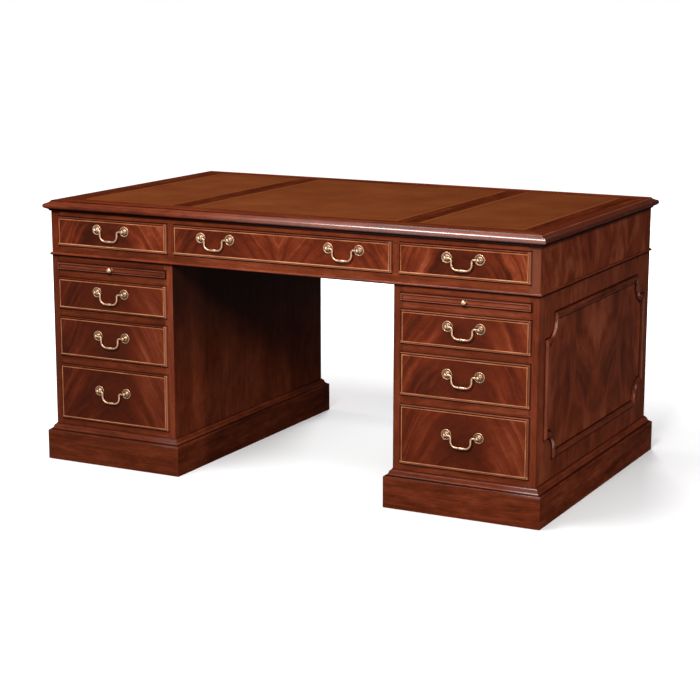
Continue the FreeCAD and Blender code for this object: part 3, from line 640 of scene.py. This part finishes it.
# The handles: cast and turned brass. Each bail swings in the heads of two posts, which are bolted through
# the drawer front with a dished rosette under each head. Lightly polished, darker in its hollows.
brass_stops = ((0.15, (0.075, 0.042, 0.020)), (0.40, (0.250, 0.148, 0.084)), (0.62, (0.500, 0.322, 0.212)),
               (0.85, (0.780, 0.590, 0.460)))
brass_roughness = (0.42, 0.26)  # where it is brown and where it is bright
brass_depth = 0.00003
post_spacing = 0.092
centre_handle_offset = 0.198
rosette_radius = 0.0145
dish_inner_shares = (0.40, 0.52)  # of the rosette's radius
dish_outer_shares = (0.74, 0.86)
dish_shadow_shares = (-0.35, 0.25)  # from its lower part to its upper part
dish_tarnish_and_shade = (0.42, 0.15)  # in its lower part and in its upper part: tarnish, with painted shadow under the post deepening the lower part
mount_wear_and_light = {"front": 0.51, "rear": 0.50, "left": 0.43, "right": 0.45}  # by row: wear, with painted shade lowering the pedestals, most on the left
grip_wear = 0.52


def lay_brass(material, x, y, z, wear_and_light):
    """Brass that is bright where wear and painted light are near 1 and brown where they are near 0."""
    tarnish = (x * 140.0).clouds(y * 140.0, z * 140.0, detail=3.0, roughness=0.6)
    speck = (x * 900.0).clouds(y * 900.0, z * 900.0)
    # Faces that point up are painted lighter and those that point down darker: painted light and shade.
    tone = tarnish.swing(0.25) + speck.swing(0.10) + x.facing(2) * 0.20 + wear_and_light
    return lay_finish(material, tone.ramp(*brass_stops), tone.between(*brass_roughness), speck, brass_depth,
                      {"Metallic": 1.0})


for name in drawers:
    low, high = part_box(name)
    mounts_low, mounts_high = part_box(name + "_mounts")
    material, x, y, z = new_finish(name + "_rosettes")
    across = abs(x - (low.x + high.x) / 2)
    if "centre" in name:
        across = abs(across - centre_handle_offset)
    from_post = across - post_spacing / 2
    lift = z - (mounts_low.z + mounts_high.z) / 2
    ring = (from_post * from_post + lift * lift).root() / rosette_radius
    dish = ring.ease(*dish_inner_shares) * (1 - ring.ease(*dish_outer_shares))
    # The lower part of each dish is painted darker, as painted shadow under the post, over the tarnish of the
    # hollow.
    hollow = dish * (lift / rosette_radius).ease(*dish_shadow_shares).between(*dish_tarnish_and_shade)
    dress(name + "_mounts", lay_brass(material, x, y, z, mount_wear_and_light[row_of(name)] - hollow))
material, x, y, z = new_finish("rubbed_brass")
rubbed_brass = lay_brass(material, x, y, z, grip_wear)
for name in nodes:
    if name.endswith(("_knob", "_fittings", "_bail", "_bail_left", "_bail_right", "hinge_leaves")):
        dress(name, rubbed_brass)


# The writing slides: a flat board that draws out over the top drawer of each pedestal, with a reeded
# front strip and a small brass ball knob in its middle.
strip_thickness = 0.007
reed_width = 0.0045
gap_reach = 0.0022
gap_shade = 0.8
reed_reach = 0.0016
reed_shade = 0.7
# How much lighter each slide is painted: more on the right, where more light falls.
slide_light_lift = {"left": 0.04, "right": 0.14}
reed_highlight_share = 1.6  # times the lift of the sunken face between the reeds: painted highlight on the reeds
slide_gloss = (0.40, 0.06)  # on the reeds and behind them
for side in ("left", "right"):
    low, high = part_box(side + "_slide")
    material, x, y, z = new_finish(side + "_slide_wood")
    tone, pore = straight_grain(x, y, z, seed=120.0 + low.x)
    on_strip = y < low.y + strip_thickness
    sunken = y > low.y + reed_width / 2
    reed = Vector((reed_width, 0, reed_width))
    # Painted shade in the gap round the strip and along the inner edges of the reeds.
    shade_and_wax = joint_line(x, z, [(low, high)], gap_reach) * gap_shade
    shade_and_wax = shade_and_wax.most(joint_line(x, z, [(low + reed, high - reed)], reed_reach) * reed_shade)
    tone = tone + sunken.between(reed_highlight_share, 1.0) * slide_light_lift[side]
    dress(side + "_slide", lay_mahogany(material, tone, pore, sunken.between(*slide_gloss),
                                        shade_and_wax=shade_and_wax * on_strip))


# The pedestals: cases with veneered sides, whose edges show as the stiles of the front, and rails between
# the drawers. Outer sides carry flame veneer inside the applied moulding; inner boards are plain.
panel_low, panel_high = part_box("panel_mouldings")
panel_middle = (panel_low.z + panel_high.z) / 2
panel_half_height = (panel_high.z - panel_low.z) / 2
moulding_height = 0.008
moulding_width = 0.018
indent_step = 0.022
indent_radius = 0.040
side_face = panel_high.x - moulding_height


def beyond_outline(run, rise, half_run, half_rise):
    """How far a point lies outside an outline with indented corners, and less than 0 inside it."""
    corner_run = abs(run) - (half_run - indent_step)
    corner_rise = abs(rise) - (half_rise - indent_step)
    hollow = indent_radius - (corner_run * corner_run + corner_rise * corner_rise).root()
    end_notch = corner_run.least(corner_rise + indent_radius)
    head_notch = corner_rise.least(corner_run + indent_radius)
    edge = (corner_run - indent_step).most(corner_rise - indent_step)
    return edge.most(hollow).most(end_notch).most(head_notch)


def moulding_line(beyond, reach, core_share=0.3):
    """A mask along both sides of an applied moulding, for painted shade in the corner."""
    nearest = abs(beyond).least(abs(beyond + moulding_width))
    return 1 - nearest.ease(reach * core_share, reach)


pedestal_fronts = ("_slide", "_top_drawer", "_middle_drawer", "_bottom_drawer")
rail_seed = {"left": 137.0, "right": 130.0}
# Painted light by pedestal: the right rails lighter and the left darker, as the light falls.
rail_light_lift = {"left": -0.04, "right": 0.03}
under_slide_lift = 0.10
wide_joint_reach = 0.0110
wide_joint_shade = 0.25
pedestal_joint_shade = 0.8
rail_bead_shade = (bead_low.z - 0.006, bead_low.z - 0.002)
bead_shadow = 0.85
side_seed = {"left": 140.0, "right": 147.0}
side_joint_reach = 0.0040
side_joint_sides = {"left": 0.25, "right": 0.70}
side_bead_shade = (bead_low.z - 0.007, bead_low.z - 0.002)
side_figure = 0.8
side_lift = 0.03
# Painted shade on the outer stiles, deepest on the left, where less light falls.
outer_stile_shade = {"left": 0.16, "right": 0.08}
inner_stile_lift = {"left": 0.04, "right": -0.12}
panel_stretch_share = 0.45  # of each height counts, which draws the plumes of the panel upwards
panel_slope = 1.3
panel_level = 0.530
panel_shade_to_rear = 0.06  # of the tone, for each metre towards the rear: painted shade, away from the light
face_skin = 0.0005
panel_line_reach = 0.0065
panel_line_shade = 0.9
arris_reach = (0.0005, 0.0030)
side_arris_shade = 0.6
knee_face = 0.026  # from the frame to just short of the face in the kneehole
knee_levels = (0.12, 0.56)
knee_painted_shade = (0.05, 0.90)  # low and high in the kneehole: painted shade, darker upwards
side_gloss = (0.015, 0.06)  # on the faces and on the stiles
side_roughness = (0.28, 0.42)
side_depth = 0.00007
for side in ("left", "right"):
    material, x, y, z = new_finish(side + "_pedestal_rails")
    fronts = [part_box(side + piece) for piece in pedestal_fronts]
    tone, pore = straight_grain(x, y, z, rail_seed[side])
    under_slide = (z < fronts[0][0].z) * (z > fronts[1][1].z)
    tone = tone + rail_light_lift[side] + under_slide * under_slide_lift
    # Painted shade round the fronts, wider over the recessed rails, and painted shadow under the waist bead.
    shade_and_wax = joint_line(x, z, fronts, rail_joint_reach) * pedestal_joint_shade
    shade_and_wax = shade_and_wax.most(joint_line(x, z, fronts, wide_joint_reach) * wide_joint_shade) * (y < 0.0)
    shade_and_wax = shade_and_wax.most(z.ease(*rail_bead_shade) * bead_shadow)
    dress(side + "_pedestal_frame", lay_mahogany(material, tone, pore, rail_gloss, shade_and_wax=shade_and_wax))

    low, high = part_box(side + "_pedestal_frame")
    frame_inner = min(abs(low.x), abs(high.x))
    frame_outer = max(abs(low.x), abs(high.x))
    seed = side_seed[side]
    material, x, y, z = new_finish(side + "_pedestal_sides")
    is_inner_board = (abs(x) > frame_inner - end_skin) * (abs(x) < frame_outer + end_skin)
    is_stile = abs(x.facing(1)) > 0.5
    on_outer_face = abs(x) > side_face - face_skin
    beyond = beyond_outline(y, z - panel_middle, panel_high.y, panel_half_height)
    upright_tone, pore = straight_grain(z, y * upright_grain_share, x, seed, side_figure)
    upright_tone = upright_tone + side_lift - (abs(x) > frame_outer) * is_stile * outer_stile_shade[side]
    upright_tone = upright_tone + (abs(x) < frame_inner) * is_stile * inner_stile_lift[side]
    leaf = panel_high.y / 2
    swirl = (abs(y) * 7.0).clouds(z * 4.5, seed, distortion=1.6)
    flame = flame_tone(abs(y) - leaf, (z - panel_low.z) * panel_stretch_share, seed, leaf, panel_slope)
    field_tone = panel_level + flame.swing(0.40, middle=0.46) + swirl.swing(1.05) - y * panel_shade_to_rear
    in_panel = on_outer_face * (beyond < -moulding_width / 2)
    tone = in_panel.between(upright_tone, field_tone)
    colour = (pore * veneer_pore_share).stain(tone.ramp(*mahogany_stops), dark_pore)
    # Painted shade round the fronts, under the waist bead, along both sides of the moulding and at the corner
    # arris.
    shade_and_wax = joint_line(x, z, fronts, side_joint_reach, side_joint_sides[side]) * (y < 0.0) * joint_shade
    shade_and_wax = shade_and_wax.most(z.ease(*side_bead_shade) * bead_shadow)
    shade_and_wax = shade_and_wax.most(moulding_line(beyond, panel_line_reach) * on_outer_face * panel_line_shade)
    arris = (1 - (side_face - abs(x)).ease(*arris_reach)) * is_stile
    colour = shade_and_wax.most(arris * side_arris_shade).stain(colour, shade_and_wax_brown)
    in_kneehole = abs(x) < frame_inner - knee_face
    colour = (in_kneehole * z.ease(*knee_levels).between(*knee_painted_shade)).stain(colour, shade_and_wax_brown)
    inner_colour, inner_tone = lining_wood(y, x, z, seed=seed + 3.0)
    gloss = (1 - is_inner_board) * (1 - shade_and_wax) * abs(x.facing(1)).between(*side_gloss)
    roughness = is_inner_board.between(tone.between(*side_roughness), lining_roughness)
    dress(side + "_pedestal_case", lay_finish(material, is_inner_board.stain(colour, inner_colour), roughness,
                                              is_inner_board.between(tone * 0.3, inner_tone), side_depth,
                                              polished(gloss)))


# The applied panel mouldings of the outer sides: thin mahogany strips with indented corners,
# mitred, glued and pinned on the veneer.
corner_reach = indent_step + indent_radius
facing_front = (0.25, 0.60)
strip_drop = 0.09
painted_hollow_highlight = 0.34
hollow_gloss = (0.08, 0.72)  # on the straight runs and in the corners
strip_gloss = 0.02
strip_index = 2.0
material, x, y, z = new_finish("panel_moulding")
rise = abs(z - panel_middle)
is_upright = (abs(y) - panel_high.y) > (rise - panel_half_height)
strip_tone, strip_pore = straight_grain(y, z, x, seed=160.0)
post_tone, post_pore = straight_grain(z, y, x, seed=166.0)
in_corner = (abs(y) > panel_high.y - corner_reach) * (rise > panel_half_height - corner_reach)
lit = abs(x.facing(1)).ease(*facing_front)
# The hollows at the corners that face the front are painted lighter: a painted highlight.
tone = is_upright.between(strip_tone, post_tone) - strip_drop + lit * in_corner * painted_hollow_highlight
dress("panel_mouldings", lay_mahogany(material, tone, is_upright.between(strip_pore, post_pore),
                                      lit * in_corner.between(*hollow_gloss) + strip_gloss,
                                      index=strip_index))


# The cupboard doors behind the pedestals: a veneered leaf on two butt hinges, with the same applied
# moulding as the sides round a flame-veneered field.
door_margin = 0.0385
door_figure_share = 0.6  # of each length counts, which makes the figure of the doors larger
door_slope = 1.4
door_line_reach = 0.0050
door_line_shade = 0.85
door_gloss = 0.10
for side in ("left", "right"):
    low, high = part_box(side + "_door")
    middle = (low + high) / 2
    half_width = (high.x - low.x) / 2
    half_height = (high.z - low.z) / 2
    material, x, y, z = new_finish(side + "_door_veneer")
    on_leaf = y < high.y - moulding_height + end_skin
    beyond = beyond_outline(x - middle.x, z - middle.z, half_width - door_margin, half_height - door_margin)
    field_tone = flame_tone(x - middle.x, (z - middle.z) * door_figure_share, 170.0, half_width, door_slope)
    plain_tone, pore = straight_grain(z, x * door_figure_share, y, seed=176.0)
    in_field = on_leaf * (beyond < -moulding_width / 2)
    # Painted shade along both sides of the moulding.
    shade_and_wax = moulding_line(beyond, door_line_reach) * on_leaf * door_line_shade
    dress(side + "_door", lay_mahogany(material, in_field.between(plain_tone, field_tone), pore, door_gloss,
                                       shade_and_wax=shade_and_wax))


# The plinths: deep boards of solid mahogany with an ogee and a bead on their top edge, mitred round
# the foot of each pedestal.
quirk_level = 0.0888
plinth_quirk_reach = (0.0010, 0.0024)
# Painted shade in the quirk of the moulding and along its head under the case.
plinth_quirk_shade = 0.75
plinth_head = (0.0035, 0.0005)  # below its top
plinth_head_shade = 0.5
plinth_moulding = 0.024
polished_stretch = (0.12, 0.02)  # from the right end of each front
moulding_gloss = (0.12, 0.85)  # at the left and at the right
board_gloss = 0.03
plinth_end_gloss = 0.015
plinth_drop = 0.03
# The left plinth is deeper: painted shade, where less light falls.
plinth_tone_and_shade = {"left": 0.76, "right": 0.94}
for side in ("left", "right"):
    low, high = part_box(side + "_plinth")
    middle = (low + high) / 2
    material, x, y, z = new_finish(side + "_plinth_boards")
    end_piece = (high.y - abs(y)) > ((high.x - low.x) / 2 - abs(x - middle.x))
    front_tone, front_pore = straight_grain(x, y, z, seed=180.0 + low.x)
    end_tone, end_pore = straight_grain(y, x, z, seed=190.0 + low.x)
    quirk = 1 - abs(z - quirk_level).ease(*plinth_quirk_reach)
    head = z.ease(high.z - plinth_head[0], high.z - plinth_head[1])
    shade_and_wax = (head * plinth_head_shade).most(quirk * plinth_quirk_shade)
    sheen_and_light = x.ease(high.x - polished_stretch[0], high.x - polished_stretch[1])
    front_gloss = (z > high.z - plinth_moulding) * sheen_and_light.between(*moulding_gloss) + board_gloss
    dress(side + "_plinth", lay_mahogany(material, end_piece.between(front_tone, end_tone) - plinth_drop,
                                         end_piece.between(front_pore, end_pore),
                                         end_piece.between(front_gloss, plinth_end_gloss), plinth_tone_and_shade[side],
                                         shade_and_wax))


# The room: a plain pale floor that runs out of sight, and soft light from large lamps.
# The floor and the sky show white to the eye and in reflections, and the floor keeps the desk's shadow.
floor_half = 40.0
floor_bounce = (0.14, 0.14, 0.14)
floor_pale = (0.80, 0.80, 0.80)
glow_near_desk = 0.32
glow_ring = (1.1, 2.4)  # from the middle of the desk, where the glow rises to white
shadow_reach = 0.28
shadow_samples = 8
sky_strength = (0.10, 1.0)  # as light on the desk, and to the eye


def seen_mask(tree):
    """1 for a ray from the eye, or one by way of a reflection or of glass, and 0 for light on the desk."""
    path = tree.nodes.new("ShaderNodeLightPath")
    seen = Tone(tree, path.outputs["Is Camera Ray"]).most(Tone(tree, path.outputs["Is Glossy Ray"]))
    return seen.most(Tone(tree, path.outputs["Is Transmission Ray"]))


bpy.ops.object.select_all(action="DESELECT")
bpy.ops.mesh.primitive_plane_add(size=2 * floor_half, location=(0, 0, 0))
floor = bpy.context.object
floor.name = "floor"
floor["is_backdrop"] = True
floor_finish, x, y, z = new_finish("pale_floor")
tree = floor_finish.node_tree
seen = seen_mask(tree)
lit = seen.add("ShaderNodeBsdfDiffuse", {}, {"Color": seen.stain(floor_bounce, floor_pale)})
far = (x * x + y * y).root().ease(*glow_ring)
open_air = seen.add("ShaderNodeAmbientOcclusion", {"samples": shadow_samples},
                    {"Distance": shadow_reach}, "AO")
white = (seen * far.between(open_air * glow_near_desk, 1.0)).stain((0, 0, 0), (1, 1, 1))
glow = seen.add("ShaderNodeEmission", {}, {"Color": white, "Strength": 1.0})
both = seen.add("ShaderNodeAddShader", {}, {0: lit, 1: glow})
tree.links.new(both.socket, tree.nodes.new("ShaderNodeOutputMaterial").inputs["Surface"])
floor.data.materials.append(floor_finish)

world = bpy.data.worlds.new("studio")
bpy.context.scene.world = world
world.use_nodes = True
tree = world.node_tree
tree.nodes.clear()
seen = seen_mask(tree)
sky = seen.add("ShaderNodeBackground", {}, {"Color": (1, 1, 1, 1), "Strength": seen.between(*sky_strength)})
tree.links.new(sky.socket, tree.nodes.new("ShaderNodeOutputWorld").inputs["Surface"])

# Each lamp's name, place, the point that it shines at, its width and depth, and its power in watts.
lamps = (("key", (1.0, -4.4, 3.2), (0.0, -0.4, 0.4), (1.0, 1.0), 215.0),
         ("overhead", (-0.5, -1.2, 3.2), (-0.3, -0.4, 0.7), (1.25, 1.6), 66.0),
         ("right", (4.4, -1.3, 0.9), (0.75, 0.0, 0.5), (0.3, 1.5), 46.0),
         ("left", (-4.2, 0.6, 1.4), (-0.75, 0.0, 0.5), (0.6, 1.5), 40.0),
         ("rear", (-1.4, 4.6, 3.0), (0.0, 0.4, 0.4), (1.6, 1.6), 190.0))
for lamp_name, place, aim, (width, depth), power in lamps:
    bpy.ops.object.light_add(type="AREA", location=place)
    lamp = bpy.context.object
    lamp.name = lamp_name + "_lamp"
    lamp.data.energy = power
    lamp.data.shape = "RECTANGLE"
    lamp.data.size = width
    lamp.data.size_y = depth
    lamp.rotation_mode = "QUATERNION"
    lamp.rotation_quaternion = (Vector(aim) - Vector(place)).to_track_quat("-Z", "Y")


# The size of the dressed desk, in metres.
low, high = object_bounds()
